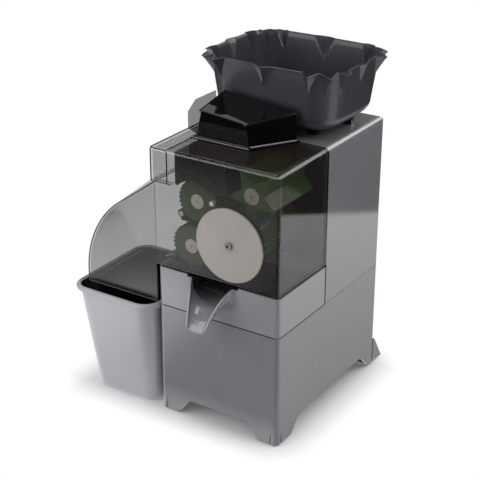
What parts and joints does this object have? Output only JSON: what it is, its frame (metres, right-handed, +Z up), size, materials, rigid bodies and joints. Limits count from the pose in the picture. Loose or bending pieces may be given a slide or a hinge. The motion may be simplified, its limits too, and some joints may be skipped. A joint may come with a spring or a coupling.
{
  "type": "automatic citrus juicer",
  "caption": "Countertop automatic citrus juicer with ribbed squeezing rollers and a star feeder behind a smoked cover, a side peel bin, a juice spout and a fruit basket on top.",
  "frame": {"origin": "on the floor, under the middle of the whole juicer's bounding box, bin and basket included", "axes": "+Z up, -Y towards the spout and the front cover, +X to the right seen from the front, so the peel bin is at -X"},
  "size_m": [0.4044, 0.393, 0.56],
  "materials": {
    "base_grey": "moulded, satin sheen",
    "housing_grey": "moulded, glossy",
    "tray_grey": "moulded, satin sheen",
    "bin_grey": "moulded, satin",
    "basket_grey": "moulded, glossy",
    "dark_plastic": "moulded, fine grain",
    "black_plastic": "moulded, fine grain",
    "smoked_cover": "clear smoked plastic, glossy",
    "smoked_side": "clear smoked plastic, glossy",
    "smoked_dark": "dark smoked plastic, glossy",
    "drum_green": "moulded, satin",
    "star_green": "moulded, satin",
    "gear_plastic": "cut acetal",
    "disc_steel": "satin, spun",
    "cap_steel": "satin",
    "shaft_steel": "ground",
    "steel": "bright zinc",
    "plate_steel": "rolled sheet",
    "bronze": "sintered",
    "cast_alloy": "cast",
    "motor_grey": "powder coat",
    "pale_plastic": "moulded",
    "board_green": "laminate",
    "switch_red": "moulded",
    "rubber": "moulded"
  },
  "bodies": {
    "body": {"base_housing": "base_grey", "base_plate": "dark_plastic", "base_screws": "steel", "rubber_feet": "rubber", "rear_housing": "housing_grey", "back_panel": "dark_plastic", "panel_screws": "steel", "basket_clip": "dark_plastic", "bearing_plate": "dark_plastic", "rear_plate": "plate_steel", "plate_spacers": "plate_steel", "plate_screws": "steel", "front_bushes": "bronze", "rear_bushes": "bronze", "shaft_seals": "rubber", "fruit_guide": "black_plastic", "guide_screw": "steel", "scraper_pin": "steel", "peel_scraper": "dark_plastic", "peel_slide": "plate_steel", "gearbox": "cast_alloy", "gearbox_spacers": "plate_steel", "motor": "motor_grey", "run_capacitor": "pale_plastic", "control_board": "board_green", "cover_switch": "black_plastic", "mains_inlet": "black_plastic", "switch_frame": "black_plastic"},
    "drum": {"main_shaft": "shaft_steel", "main_drum": "drum_green", "main_gear": "gear_plastic", "main_cap": "cap_steel", "shaft_coupling": "cast_alloy", "output_shaft": "shaft_steel"},
    "upper": {"upper_shaft": "shaft_steel", "upper_roller": "drum_green", "upper_gear": "gear_plastic", "upper_cap": "cap_steel"},
    "lower": {"lower_shaft": "shaft_steel", "lower_roller": "drum_green", "lower_gear": "gear_plastic", "lower_cap": "cap_steel"},
    "star": {"star_shaft": "shaft_steel", "star_feeder": "star_green", "star_gear": "gear_plastic", "star_cap": "cap_steel"},
    "rocker": {"power_switch": "switch_red"},
    "tray": {"juice_tray": "tray_grey"},
    "filter": {"pulp_filter": "plate_steel"},
    "cover": {"front_cover": "smoked_cover", "peel_cover": "smoked_side", "cover_disc": "disc_steel", "disc_screw": "steel", "disc_nut": "steel", "feed_chute": "smoked_dark"},
    "lid": {"chute_lid": "smoked_dark"},
    "bin": {"peel_bin": "bin_grey"},
    "basket": {"fruit_basket": "basket_grey", "basket_feet": "rubber"}
  },
  "joints": [
    {"name": "drum_spin", "type": "hinge", "parent": "body", "child": "drum", "pos_m": [0.0975, -0.0111, 0.3227], "axis": [0, 1, 0], "continuous": true},
    {"name": "upper_spin", "type": "hinge", "parent": "body", "child": "upper", "pos_m": [0.02467, -0.0111, 0.36892], "axis": [0, 1, 0], "continuous": true},
    {"name": "lower_spin", "type": "hinge", "parent": "body", "child": "lower", "pos_m": [0.01282, -0.0111, 0.29221], "axis": [0, 1, 0], "continuous": true},
    {"name": "star_spin", "type": "hinge", "parent": "body", "child": "star", "pos_m": [0.12559, -0.0111, 0.4016], "axis": [0, 1, 0], "continuous": true},
    {"name": "power_rock", "type": "hinge", "parent": "body", "child": "rocker", "pos_m": [0.0155, 0.1655, 0.232], "axis": [0, 0, 1], "range_deg": [-8, 8]},
    {"name": "cover_pull", "type": "slide", "parent": "body", "child": "cover", "axis": [0, -1, 0], "range_m": [0, 0.14]},
    {"name": "lid_lift", "type": "slide", "parent": "cover", "child": "lid", "axis": [0, 0, 1], "range_m": [0, 0.018]},
    {"name": "tray_pull", "type": "slide", "parent": "body", "child": "tray", "axis": [0, -1, 0], "range_m": [0, 0.15]},
    {"name": "filter_lift", "type": "slide", "parent": "tray", "child": "filter", "axis": [0, 0, 1], "range_m": [0, 0.016]},
    {"name": "bin_pull", "type": "slide", "parent": "body", "child": "bin", "axis": [0, -1, 0], "range_m": [0, 0.2]},
    {"name": "basket_lift", "type": "slide", "parent": "body", "child": "basket", "axis": [0, 0, 1], "range_m": [0, 0.06]}
  ],
  "couplings": [
    {"joint": "upper_spin", "follows": "drum_spin", "ratio": -1.76},
    {"joint": "lower_spin", "follows": "drum_spin", "ratio": -1.5714},
    {"joint": "star_spin", "follows": "drum_spin", "ratio": -1.913}
  ]
}
